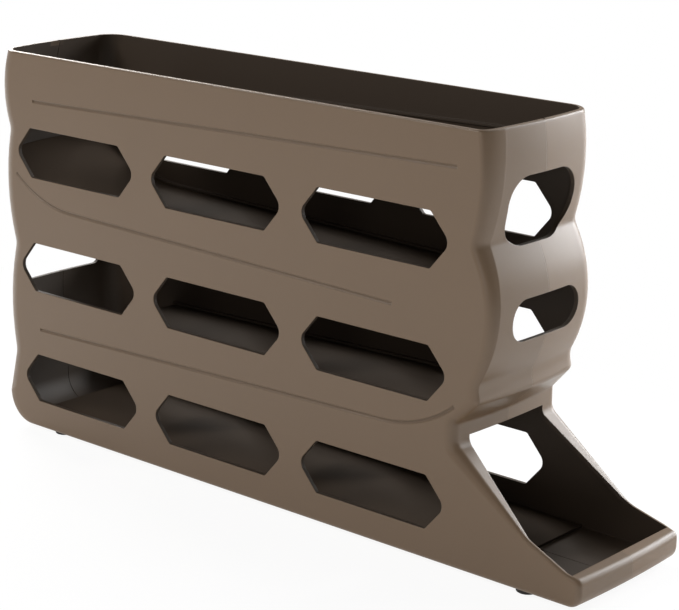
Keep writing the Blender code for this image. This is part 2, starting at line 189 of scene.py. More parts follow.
class Shader(NodeBoard):
    """A material while its nodes are laid."""

    def __init__(self, name: str) -> None:
        """Start a material with a Principled shader and its output.

        Args:
            name: name of the material.
        """
        self.material = bpy.data.materials.new(name)
        self.material.use_nodes = True
        super().__init__(self.material.node_tree)
        self.principled = self.tree.nodes["Principled BSDF"]
        self.output = self.tree.nodes["Material Output"]

    def set(self, **values: object) -> None:
        """Feed inputs of the Principled shader, named with underscores for spaces."""
        for name, value in values.items():
            self.feed(self.principled.inputs[name.replace("_", " ")], value)

    def place(self) -> bpy.types.NodeSocket:
        """Object coordinates of the surface."""
        return self.node("ShaderNodeTexCoord", {}, {}).outputs["Object"]

    def noise(self, scale: float, detail: float, roughness: float = 0.5) -> Signal:
        """Noise on Object coordinates.

        Args:
            scale: number of cells to the metre.
            detail: number of finer layers.
            roughness: strength of the finer layers.

        Returns:
            The noise, from 0 to 1.
        """
        inputs = {"Vector": self.place(), "Scale": scale, "Detail": detail, "Roughness": roughness}
        node = self.node("ShaderNodeTexNoise", {}, inputs)
        return Signal(self, node.outputs["Fac"])

    def attribute(self, name: str) -> Signal:
        """Number that the mesh holds under a name."""
        node = self.node("ShaderNodeAttribute", {"attribute_name": name}, {})
        return Signal(self, node.outputs["Fac"])

    def blend(self, share: Signal, low: Colour, high: Colour) -> bpy.types.NodeSocket:
        """Colour between two colours.

        Args:
            share: 0 for the first colour, 1 for the second.
            low: the first colour, or a socket that holds it.
            high: the second colour, or a socket that holds it.

        Returns:
            Socket with the colour.
        """
        ends = [end if isinstance(end, bpy.types.NodeSocket) else (*end, 1.0) for end in (low, high)]
        inputs = {0: share, 6: ends[0], 7: ends[1]}
        return self.node("ShaderNodeMix", {"data_type": "RGBA"}, inputs).outputs[2]


def toned(colour: Rgb, factor: float) -> Rgb:
    """Colour with every channel multiplied by a factor."""
    return tuple(value * factor for value in colour)


@dataclass(frozen=True)
class MouldedPlastic:
    """Satin finish of injection-moulded plastic.

    The mould's fine spark texture is in the bump, and slow drifts of tone and gloss stand for the flow
    of the melt. Edges are softened by the rounded normals of the Bevel node. Faces that lie deep in the
    wall get painted shade, a darker base colour for the unlit inside, and are a little duller there.
    """

    name: str
    colour: Rgb
    # Painted shade inside the wall: the base colour of deep faces drops to the share below, between the two depths that
    # follow
    inside_shade_share: float = 0.25
    inside_shade_start: float = 0.0002
    inside_shade_full: float = 0.0009
    inside_dulling: float = 0.25
    roughness: float = 0.38
    specular: float = 0.5
    refraction: float = 1.48
    drift: float = 0.05
    drift_scale: float = 14.0
    flow_scale: float = 130.0
    flow_share: float = 0.35
    gloss_drift: float = 0.07
    grain_scale: float = 3800.0
    grain_height: float = 0.000010
    grain_strength: float = 0.6
    ripple_scale: float = 55.0
    ripple_height: float = 0.00010
    ripple_strength: float = 0.35
    edge_radius: float = 0.0005
    edge_samples: int = 4

    def material(self) -> bpy.types.Material:
        """Lay the nodes of the finish.

        Returns:
            The material.
        """
        shader = Shader(self.name)
        slow = shader.noise(self.drift_scale, detail=2.0)
        flow = shader.noise(self.flow_scale, detail=3.0, roughness=0.6)
        share = slow * (1.0 - self.flow_share) + flow * self.flow_share
        # Painted shade: mask of the faces that lie deep under the outer skin, on the unlit inside
        inside = shader.attribute(DEPTH_NAME).stepped(self.inside_shade_start, self.inside_shade_full)
        grain = shader.noise(self.grain_scale, detail=2.0, roughness=0.65)
        ripple = shader.noise(self.ripple_scale, detail=1.0)
        soft = shader.node("ShaderNodeBevel", {"samples": self.edge_samples}, {"Radius": self.edge_radius})
        wavy = shader.node("ShaderNodeBump", {}, {"Strength": self.ripple_strength, "Height": ripple,
                                                  "Distance": self.ripple_height, "Normal": soft.outputs[0]})
        bumpy = shader.node("ShaderNodeBump", {}, {"Strength": self.grain_strength, "Height": grain,
                                                   "Distance": self.grain_height, "Normal": wavy.outputs[0]})
        outer = shader.blend(share, toned(self.colour, 1.0 - self.drift), toned(self.colour, 1.0 + self.drift))
        # The base colour is darkened inside as painted shade, and the roughness rises there too
        shader.set(Base_Color=shader.blend(inside, outer, toned(self.colour, self.inside_shade_share)),
                   Roughness=(flow - 0.5) * self.gloss_drift + inside * self.inside_dulling + self.roughness,
                   Normal=bumpy.outputs[0], IOR=self.refraction, Specular_IOR_Level=self.specular)
        return shader.material


@dataclass(frozen=True)
class FootRubber:
    """Dull dark rubber with a fine tooth."""

    name: str
    colour: Rgb = (0.018, 0.017, 0.016)
    roughness: float = 0.78
    tooth_scale: float = 2600.0
    tooth_height: float = 0.00003
    tooth_strength: float = 0.7
    dust_scale: float = 420.0
    dust_low: float = 0.75
    dust_high: float = 1.6
    gloss_drift: float = 0.15

    def material(self) -> bpy.types.Material:
        """Lay the nodes of the finish.

        Returns:
            The material.
        """
        shader = Shader(self.name)
        tooth = shader.noise(self.tooth_scale, detail=3.0, roughness=0.7)
        dust = shader.noise(self.dust_scale, detail=3.0)
        bumpy = shader.node("ShaderNodeBump", {}, {
            "Strength": self.tooth_strength, "Distance": self.tooth_height, "Height": tooth})
        shader.set(Base_Color=shader.blend(dust, toned(self.colour, self.dust_low), toned(self.colour, self.dust_high)),
                   Roughness=(dust - 0.5) * self.gloss_drift + self.roughness, Normal=bumpy.outputs[0])
        return shader.material


@dataclass(frozen=True)
class BackdropPaper:
    """White paper under and behind the object. The camera sees it as white where no shadow falls."""

    name: str = "backdrop_paper"
    colour: Rgb = (0.80, 0.80, 0.80)
    tooth_scale: float = 300.0
    tooth_share: float = 0.985
    roughness: float = 0.9
    glow: float = 0.86
    glow_start: float = 0.06
    glow_full: float = 0.24
    length_share: float = 0.45
    bounce: float = 0.42

    def material(self) -> bpy.types.Material:
        """Lay the nodes of the finish.

        Returns:
            The material.
        """
        shader = Shader(self.name)
        tooth = shader.noise(self.tooth_scale, detail=2.0)
        shader.set(Base_Color=shader.blend(tooth, toned(self.colour, self.tooth_share), self.colour),
                   Roughness=self.roughness, Specular_IOR_Level=0.0, Emission_Color=WHITE,
                   Emission_Strength=self.bounce)
        rays = shader.node("ShaderNodeLightPath", {}, {})
        seen = Signal(shader, rays.outputs["Is Camera Ray"])
        squeezed = shader.node("ShaderNodeVectorMath", {"operation": "MULTIPLY"},
                               {0: shader.place(), 1: (self.length_share, 1.0, 1.0)})
        reach = shader.node("ShaderNodeVectorMath", {"operation": "LENGTH"}, {0: squeezed.outputs[0]})
        far = Signal(shader, reach.outputs["Value"]).stepped(self.glow_start, self.glow_full)
        white = shader.node("ShaderNodeEmission", {}, {"Color": WHITE, "Strength": 1.0})
        mixed = shader.node("ShaderNodeMixShader", {}, {
            0: seen * (far * (1.0 - self.glow) + self.glow), 1: shader.principled.outputs[0], 2: white.outputs[0]})
        shader.feed(shader.output.inputs["Surface"], mixed.outputs[0])
        return shader.material


@dataclass(frozen=True)
class Corner:
    """One corner of the side outline: its fillet, and how far the side face rolls over there.

    The wall, the share of the mould's draft and the rim flag belong to the run that starts at the corner.
    """

    point: Vector
    fillet: float
    roll: float
    wall: float
    draft_share: float = 1.0
    is_rim: bool = False
    is_crisp: bool = False


@dataclass(frozen=True)
class Drawing:
    """Sizes that every piece shares, and the outline of the body seen from the side."""

    rim_length: float = 0.3040
    shell_width: float = 0.0745
    shell_height: float = 0.1914
    wall: float = 0.002
    tier_count: int = 3
    hopper_depth: float = 0.0199
    track_level: float = 0.0557
    track_thickness: float = 0.0018
    egg_diameter: float = 0.045
    drop_clearance: float = 0.0018
    fit: float = 0.0003
    overrun: float = 0.004
    left_notch_height: float = 0.0940
    left_low_setback: float = 0.0010
    left_high_out: float = 0.0002
    left_low_swell_share: float = 0.0580
    left_mid_swell_share: float = 0.0673
    left_top_swell_share: float = 0.0930
    left_base_out: float = 0.0018
    left_base_height: float = 0.038
    heel_radius: float = 0.015
    right_notch_height: float = 0.0832
    right_notch_spread: float = 0.0023
    right_setback: float = 0.0028
    right_mid_swell_share: float = 0.1362
    right_top_swell_share: float = 0.0603
    skirt_drop: float = 0.0072
    skirt_setback: float = 0.0013
    skirt_radius: float = 0.003
    throat_setback: float = 0.0141
    throat_drop: float = 0.0118
    throat_depth: float = 0.0105
    throat_radius: float = 0.005
    notch_radius: float = 0.0042
    low_notch_radius: float = 0.009
    bend_reach: float = 0.0246
    bend_height: float = 0.0239
    bend_radius: float = 0.020
    rear_bend_reach: float = 0.0258
    rear_bend_height: float = 0.0196
    lip_reach: float = 0.0529
    lip_height: float = 0.0126
    lip_wall: float = 0.0062
    lip_top_reach: float = 0.0085
    lip_rise: float = 0.0020
    lip_inner_radius: float = 0.006
    lip_top_radius: float = 0.0035
    lip_bottom_radius: float = 0.0065
    end_roll: float = 0.0112
    throat_roll: float = 0.005
    cheek_roll: float = 0.0015
    lip_roll: float = 0.0028
    bottom_roll: float = 0.0015
    foot_height: float = 0.002
    foot_diameter: float = 0.010
    foot_sides: int = 48
    foot_recess: float = 0.0006
    foot_inset: float = 0.00745
    foot_left: float = 0.0332
    foot_right_out: float = 0.0207
    crown_share: float = 0.90
    fillet_share: float = 0.98
    least_radius: float = 0.0002
    arc_step: float = math.radians(3.5)
    right_roll: float = 0.0050
    right_is_crisp: bool = True
    spread_low: float = 0.40
    spread_high: float = 2.60
    roll_turn: float = math.radians(66.0)
    roll_tight: float = 0.16
    roll_steps: int = 7
    tight_steps: int = 4
    draft: float = 0.0011
    crown_steps: int = 6

    @property
    def half_width(self) -> float:
        """Distance from the middle plane to a side face."""
        return self.shell_width / 2

    @property
    def inner_half_width(self) -> float:
        """Distance from the middle plane to the inside of a side wall."""
        return self.half_width - self.wall

    @property
    def tier_pitch(self) -> float:
        """Height from one track to the next."""
        return (self.shell_height - self.hopper_depth - self.track_level) / (self.tier_count - 1)

    @property
    def lip_front(self) -> float:
        """Front of the lip, the far end of the body."""
        return self.rim_length + self.lip_reach

    @property
    def throat_x(self) -> float:
        """Outside of the end wall where it is set back over the chute."""
        return self.rim_length - self.throat_setback

    @property
    def throat_top(self) -> float:
        """Height where the skirt meets the set-back wall."""
        return self.right_notch_height - self.skirt_drop - self.throat_drop

    def even(self) -> "Drawing":
        """Drawing with the same roll on every end wall."""
        return replace(self, right_roll=self.end_roll, right_is_crisp=False)

    def of_side(self, side: Side) -> "Drawing":
        """Drawing of one half. The rear one has even rolls, and its cheek of the chute dips lower.

        Args:
            side: the half.

        Returns:
            The drawing with that half's own sizes.
        """
        if side is Side.FRONT:
            return self
        return replace(self.even(), bend_reach=self.rear_bend_reach, bend_height=self.rear_bend_height)

    def spread(self, height: float) -> float:
        """How far a crisp roll reaches across the body.

        Args:
            height: height above the underside.

        Returns:
            The reach, as a share of the roll's reach along the body.
        """
        low = self.right_notch_height
        share = min(max((height - low) / (self.shell_height - low), 0.0), 1.0)
        return self.spread_low + (self.spread_high - self.spread_low) * share

    def place(self) -> Vector:
        """Move from the drawing into the frame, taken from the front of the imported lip."""
        return Vector((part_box("front_shell")[1].x - self.lip_front, 0.0, self.foot_height))

    def roll_profile(self, tight: float) -> list[tuple[float, float]]:
        """Roll from the side face to the end wall: a wide arc, then one that can be tighter.

        Args:
            tight: radius of the second arc, as a share of the first. A small one leaves a crisp line.

        Returns:
            Pairs of shares of the roll: what is left along the body, and what is gone across it.
        """
        turn = self.roll_turn
        angles = [(turn * step / self.roll_steps, 1.0) for step in range(self.roll_steps + 1)]
        angles += [(turn + (math.pi / 2 - turn) * step / self.tight_steps, tight)
                   for step in range(1, self.tight_steps + 1)]
        total = math.sin(turn) + tight * (1 - math.sin(turn))
        whole = 1 - math.cos(turn) + tight * math.cos(turn)
        profile = []
        for angle, radius in angles:
            first = min(angle, turn)
            along = math.sin(first) + radius * (math.sin(angle) - math.sin(first))
            across = 1 - math.cos(first) + radius * (math.cos(first) - math.cos(angle))
            profile.append((1 - along / total, across / whole))
        return profile

    def swell(self, start: Vector, end: Vector, share: float, **extra: object) -> Corner:
        """Corner whose fillet swells out between two points of an end wall.

        Args:
            start: point where the swell starts, counterclockwise.
            end: point where it ends.
            share: how far it stands out, as a share of the distance between the two.
            extra: fields of the corner other than its defaults.

        Returns:
            The corner outside the wall, with the swell's arc as its fillet.
        """
        chord = end - start
        outward = Vector((chord.y, -chord.x)).normalized()
        shallow = chord.length * share / (2 - self.crown_share)
        radius = (chord.length_squared / 4 + shallow * shallow) / (2 * shallow)
        half_angle = math.asin(chord.length / 2 / radius)
        apex = (start + end) / 2 + outward * radius * math.tan(half_angle) * math.sin(half_angle)
        return Corner(apex, radius * self.crown_share, **{"roll": self.end_roll, "wall": self.wall, **extra})

    def corners(self) -> list[Corner]:
        """Corners of the body counterclockwise from the left heel.

        Returns:
            The corners with their fillets and rolls.
        """
        def corner(x: float, z: float, fillet: float, roll: float, **extra: object) -> Corner:
            """Corner at x along the body and z above the underside."""
            return Corner(Vector((x, z)), fillet, roll, **{"wall": self.wall, **extra})

        rim = self.rim_length
        high = self.right_notch_height + self.tier_pitch + self.right_notch_spread
        right_low = Vector((rim - self.right_setback, self.right_notch_height))
        right_high = Vector((rim - self.right_setback, high))
        right_rim = Vector((rim, self.shell_height))
        left_rim = Vector((0.0, self.shell_height))
        left_high = Vector((-self.left_high_out, self.left_notch_height + self.tier_pitch))
        left_low = Vector((self.left_low_setback, self.left_notch_height))
        left_base = Vector((-self.left_base_out, self.left_base_height))
        skirt = self.right_notch_height - self.skirt_drop
        roll = self.right_roll
        crisp = {"is_crisp": self.right_is_crisp}
        return [
            corner(-self.left_base_out, 0.0, self.heel_radius, self.bottom_roll, draft_share=0.0),
            corner(self.lip_front, 0.0, self.lip_bottom_radius, self.lip_roll, wall=self.lip_wall),
            corner(self.lip_front, self.lip_height, self.lip_top_radius, self.lip_roll, draft_share=0.0),
            corner(self.lip_front - self.lip_top_reach, self.lip_height + self.lip_rise, self.lip_inner_radius,
                   self.cheek_roll, draft_share=0.0),
            corner(rim + self.bend_reach, self.bend_height, self.bend_radius, self.cheek_roll, draft_share=0.0),
            corner(self.throat_x, self.throat_top - self.throat_depth, self.throat_radius, self.throat_roll),
            corner(self.throat_x, self.throat_top, self.skirt_radius, self.throat_roll),
            corner(rim - self.skirt_setback, skirt, self.skirt_radius, roll, **crisp),
            corner(right_low.x, right_low.y, self.low_notch_radius, roll, **crisp),
            self.swell(right_low, right_high, self.right_mid_swell_share, roll=roll, **crisp),
            corner(right_high.x, right_high.y, self.notch_radius, roll, **crisp),
            self.swell(right_high, right_rim, self.right_top_swell_share, roll=roll, **crisp),
            corner(right_rim.x, right_rim.y, 0.0, roll, draft_share=0.0, is_rim=True, **crisp),
            corner(left_rim.x, left_rim.y, 0.0, self.end_roll),
            self.swell(left_rim, left_high, self.left_top_swell_share),
            corner(left_high.x, left_high.y, self.notch_radius, self.end_roll),
            self.swell(left_high, left_low, self.left_mid_swell_share),
            corner(left_low.x, left_low.y, self.notch_radius, self.end_roll),
            self.swell(left_low, left_base, self.left_low_swell_share),
            corner(left_base.x, left_base.y, self.heel_radius, self.end_roll),
        ]


def turning(points: Sequence[Vector], index: int) -> float:
    """Angle by which a closed line turns at one of its points.

    Args:
        points: points of the line.
        index: number of the point.

    Returns:
        The angle, positive to the left.
    """
    arriving = points[index] - points[index - 1]
    leaving = points[(index + 1) % len(points)] - points[index]
    return math.atan2(arriving.x * leaving.y - arriving.y * leaving.x, arriving.dot(leaving))


def moved_in(points: Sequence[Vector], starts: Sequence[float], ends: Sequence[float]) -> list[Vector]:
    """Closed line with each run moved inward.

    Args:
        points: corners of the line, counterclockwise.
        starts: how far each run moves at its start.
        ends: how far it moves at its end.

    Returns:
        The corners where the moved runs cross.
    """
    total = len(points)
    lines = []
    for index in range(total):
        here, after = points[index], points[(index + 1) % total]
        along = (after - here).normalized()
        inward = Vector((-along.y, along.x))
        start = here + inward * starts[index]
        lines.append((start, after + inward * ends[index] - start))
    corners = []
    for index in range(total):
        (start, along), (other_start, other) = lines[index - 1], lines[index]
        offset = other_start - start
        cross = along.x * other.y - along.y * other.x
        corners.append(start + along * ((offset.x * other.y - offset.y * other.x) / cross))
    return corners


class Section:
    """Side outline of the body moved inward, from which the skins of the shells are lofted."""

    def __init__(self, drawing: Drawing, walls: float, extra: float, rim_move: float) -> None:
        """Move every run in.

        Args:
            drawing: sizes and corners of the body.
            walls: share of its own wall by which each run moves in.
            extra: further move, in metres.
            rim_move: move of the rim, in metres.
        """
        self.drawing = drawing
        corners = drawing.corners()
        base = [item.point for item in corners]
        self.turns = [turning(base, index) for index in range(len(base))]
        self.counts = [max(2, math.ceil(abs(turn) / drawing.arc_step)) for turn in self.turns]
        amounts = [item.wall * walls + extra for item in corners]
        self.is_rim = [item.is_rim for item in corners]
        moves = [rim_move if rim else amount for rim, amount in zip(self.is_rim, amounts)]
        self.points = moved_in(base, moves, moves)
        self.radii = [self.inset(item.fillet, turn, amount)
                      for item, turn, amount in zip(corners, self.turns, amounts)]
        self.rolls = [max(item.roll - amount, drawing.least_radius) for item, amount in zip(corners, amounts)]
        self.drafts = [item.draft_share * drawing.draft for item in corners]
        self.is_crisp = [item.is_crisp for item in corners]
        self.profiles = [drawing.roll_profile(drawing.roll_tight if item.is_crisp else 1.0) for item in corners]

    def inset(self, radius: float, turn: float, amount: float) -> float:
        """Radius of a fillet after its line moved inward.

        Args:
            radius: the fillet before the move. A sharp corner stays sharp.
            turn: angle by which the line turns there.
            amount: how far the line moved.

        Returns:
            The radius after the move.
        """
        if radius == 0.0:
            return 0.0
        return max(radius - math.copysign(amount, turn), self.drawing.least_radius)

    def rounded(self, points: Sequence[Vector], radii: Sequence[float]) -> list[tuple[Vector, int]]:
        """Closed line with an arc at each corner.

        Args:
            points: corners of the line.
            radii: fillet of each corner. Fillets that would meet on a short run shrink together.

        Returns:
            Points of the rounded line, each with the number of its corner.
        """
        total = len(points)
        turns = [turning(points, index) for index in range(total)]
        reaches = [radii[index] * math.tan(abs(turns[index]) / 2) for index in range(total)]
        for index in range(total):
            after = (index + 1) % total
            room = (points[after] - points[index]).length * self.drawing.fillet_share
            wanted = reaches[index] + reaches[after]
            if wanted > room:
                reaches[index] *= room / wanted
                reaches[after] *= room / wanted
        line = []
        for index, here in enumerate(points):
            if reaches[index] == 0.0:
                line.append((here.copy(), index))
                continue
            arriving = (here - points[index - 1]).normalized()
            radius = math.copysign(reaches[index] / math.tan(abs(turns[index]) / 2), turns[index])
            start = here - arriving * reaches[index]
            centre = start + Vector((-arriving.y, arriving.x)) * radius
            for step in range(self.counts[index] + 1):
                turn = Matrix.Rotation(turns[index] * step / self.counts[index], 2)
                line.append((centre + turn @ (start - centre), index))
        return line

    def ring(self, y: float) -> list[Vector]:
        """Full outline of the section as a ring at y."""
        return [Vector((point.x, y, point.y)) for point, _ in self.rounded(self.points, self.radii)]

    def face_rings(self, face: float) -> list[list[Vector]]:
        """Rings that roll the section over from its flat side face.

        Args:
            face: place of the side face along Y.

        Returns:
            Rings from the side face to the full outline.
        """
        side = math.copysign(1.0, face)
        rings = []
        for stage in zip(*self.profiles):
            line = self.eased([shrink for shrink, _ in stage], 1.0)
            rings.append([Vector((point.x, face - side * self.across(point, owner) * stage[owner][1], point.y))
                          for point, owner in line])
        for step in range(1, self.drawing.crown_steps):
            share = 1 - step / self.drawing.crown_steps
            line = self.eased([0.0] * len(self.rolls), share * share)
            rings.append([Vector((point.x, (face - side * self.across(point, owner)) * share, point.y))
                          for point, owner in line])
        return rings

    def across(self, point: Vector, owner: int) -> float:
        """How far the roll reaches across the body at a point of a corner."""
        return self.rolls[owner] * (self.drawing.spread(point.y) if self.is_crisp[owner] else 1.0)

    def eased(self, roll_shares: Sequence[float], draft_share: float) -> list[tuple[Vector, int]]:
        """Outline moved in by shares of its rolls and of the draft.

        Args:
            roll_shares: share of the roll for each corner.
            draft_share: share of each run's draft.

        Returns:
            Points of the outline, each with the number of its corner.
        """
        moves = [roll * share for roll, share in zip(self.rolls, roll_shares)]
        drafts = [draft * draft_share for draft in self.drafts]
        starts = [0.0 if rim else move + draft for rim, move, draft in zip(self.is_rim, moves, drafts)]
        ends = [0.0 if rim else move + draft
                for rim, move, draft in zip(self.is_rim, moves[1:] + moves[:1], drafts)]
        radii = [self.inset(radius, turn, move) for radius, turn, move in zip(self.radii, self.turns, moves)]
        return self.rounded(moved_in(self.points, starts, ends), radii)


class Bench:
    """Mesh work that several pieces share."""

    @staticmethod
    def loft(rings: Sequence[Sequence[Vector]]) -> bmesh.types.BMesh:
        """Solid whose skin runs through rings of equal count.

        The first ring is filled, the extrude operator carries it on, and every grown ring is set on the
        next outline, because a bevel can't give a roll that changes from corner to corner.

        Args:
            rings: outlines of equal count, in order.

        Returns:
            The closed solid.
        """
        mesh_data = bmesh.new()
        cap = mesh_data.faces.new([mesh_data.verts.new(point) for point in rings[0]])
        for before, after in zip(rings, rings[1:]):
            places = {vert.co.copy().freeze(): point for vert, point in zip(cap.verts, after)}
            grown = bmesh.ops.extrude_face_region(mesh_data, geom=[cap])["geom"]
            fresh = next(item for item in grown if isinstance(item, bmesh.types.BMFace))
            order = [places[vert.co.copy().freeze()] for vert in fresh.verts]
            if cap.is_valid and before is not rings[0]:
                mesh_data.faces.remove(cap)
            for vert, point in zip(fresh.verts, order):
                vert.co = point
            cap = fresh
        bmesh.ops.recalc_face_normals(mesh_data, faces=mesh_data.faces)
        return mesh_data

    @staticmethod
    def prism(outline: Sequence[Vector], travel: Vector) -> bmesh.types.BMesh:
        """Extrude a flat outline.

        Args:
            outline: corners of the outline.
            travel: way and length of the extrusion.

        Returns:
            The closed solid.
        """
        mesh_data = bmesh.new()
        face = mesh_data.faces.new([mesh_data.verts.new(point) for point in outline])
        Bench.thicken(mesh_data, face, travel)
        return mesh_data

    @staticmethod
    def thicken(mesh_data: bmesh.types.BMesh, face: bmesh.types.BMFace, travel: Vector) -> None:
        """Extrude a lone face and turn the solid's faces outward.

        Args:
            mesh_data: mesh that holds the face.
            face: the lone face.
            travel: way and length of the extrusion.
        """
        grown = bmesh.ops.extrude_face_region(mesh_data, geom=[face])["geom"]
        verts = [item for item in grown if isinstance(item, bmesh.types.BMVert)]
        bmesh.ops.translate(mesh_data, verts=verts, vec=travel)
        bmesh.ops.recalc_face_normals(mesh_data, faces=mesh_data.faces)

    @staticmethod
    def round_corners(mesh_data: bmesh.types.BMesh, verts: Sequence[bmesh.types.BMVert],
                      radius: float, segments: int) -> None:
        """Round equal corners of a lone flat face.

        Args:
            mesh_data: mesh that holds the face.
            verts: the corners.
            radius: radius of the arcs.
            segments: number of edges in each arc.
        """
        first, second = (edge.other_vert(verts[0]).co - verts[0].co for edge in verts[0].link_edges)
        reach = radius / math.tan(first.angle(second) / 2)
        bmesh.ops.bevel(mesh_data, geom=list(verts), offset=reach, offset_type="OFFSET", segments=segments,
                        profile=0.5, affect="VERTICES", material=-1, clamp_overlap=True)

    @staticmethod
    def soften(mesh_data: bmesh.types.BMesh, edges: Iterable[bmesh.types.BMEdge],
               width: float, segments: int, clamp: bool = True) -> None:
        """Round edges over by a width."""
        bmesh.ops.bevel(mesh_data, geom=list(edges), offset=width, offset_type="OFFSET", segments=segments,
                        profile=0.5, affect="EDGES", material=-1, clamp_overlap=clamp)

    @staticmethod
    def lay(name: str, *meshes: bmesh.types.BMesh) -> bpy.types.Object:
        """Make one object of one or several bmeshes.

        Args:
            name: name of the object.
            meshes: the bmeshes, which are freed.

        Returns:
            The object, linked to the scene.
        """
        whole = bmesh.new()
        for mesh_data in meshes:
            part = bpy.data.meshes.new(name)
            mesh_data.to_mesh(part)
            mesh_data.free()
            whole.from_mesh(part)
            bpy.data.meshes.remove(part)
        mesh = bpy.data.meshes.new(name)
        whole.to_mesh(mesh)
        whole.free()
        item = bpy.data.objects.new(name, mesh)
        bpy.context.scene.collection.objects.link(item)
        return item

    @staticmethod
    def work(item: bpy.types.Object, step: Step, *tools: bpy.types.Object) -> None:
        """Cut, extend or trim an object with tools, which are used up.

        Args:
            item: object that is changed.
            step: what is done to it.
            tools: objects that are used in their order and then removed.
        """
        for tool in tools:
            modifier = item.modifiers.new(tool.name, "BOOLEAN")
            modifier.operation = step.value
            modifier.solver = "EXACT"
            modifier.object = tool
            graph = bpy.context.evaluated_depsgraph_get()
            mesh = bpy.data.meshes.new_from_object(item.evaluated_get(graph))
            item.modifiers.clear()
            old, item.data = item.data, mesh
            bpy.data.meshes.remove(old)
            bpy.data.objects.remove(tool)
        item.data.name = item.name

    @staticmethod
    def reworked(item: bpy.types.Object, steps: Callable[[bmesh.types.BMesh], None]) -> None:
        """Change an object's mesh as a bmesh, after its doubles are merged.

        Args:
            item: object that is changed.
            steps: function that changes the bmesh.
        """
        mesh_data = bmesh.new()
        mesh_data.from_mesh(item.data)
        bmesh.ops.remove_doubles(mesh_data, verts=mesh_data.verts, dist=WELD)
        bmesh.ops.dissolve_degenerate(mesh_data, edges=mesh_data.edges, dist=SLIVER)
        steps(mesh_data)
        mesh_data.to_mesh(item.data)
        mesh_data.free()

    @staticmethod
    def note_depth(item: bpy.types.Object, skin: BVHTree) -> None:
        """Write how deep every face lies under the outer skin, which the finish reads to paint shade inside.

        Args:
            item: the piece, still in the drawing's place.
            skin: outer skin of the body.
        """
        depths = item.data.attributes.new(DEPTH_NAME, "FLOAT", "FACE")
        for face, depth in zip(item.data.polygons, depths.data):
            depth.value = skin.find_nearest(face.center)[3]

    @staticmethod
    def dress(item: bpy.types.Object, place: Vector, material: bpy.types.Material, node: str, slot: str) -> None:
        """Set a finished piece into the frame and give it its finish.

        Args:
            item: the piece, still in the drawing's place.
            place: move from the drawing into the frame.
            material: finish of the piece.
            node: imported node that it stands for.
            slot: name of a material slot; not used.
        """
        item.data.transform(Matrix.Translation(place))
        item.data.materials.clear()
        item.data.materials.append(material)
        item.data.shade_smooth()
        item.data.set_sharp_from_angle(angle=SHARP_ANGLE)
        weighted = item.modifiers.new("even_flats", "WEIGHTED_NORMAL")
        weighted.keep_sharp = True
        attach(item, "root")
        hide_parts(node)
        LOG.info("%s: %d faces, stands for %s", item.name, len(item.data.polygons), node)


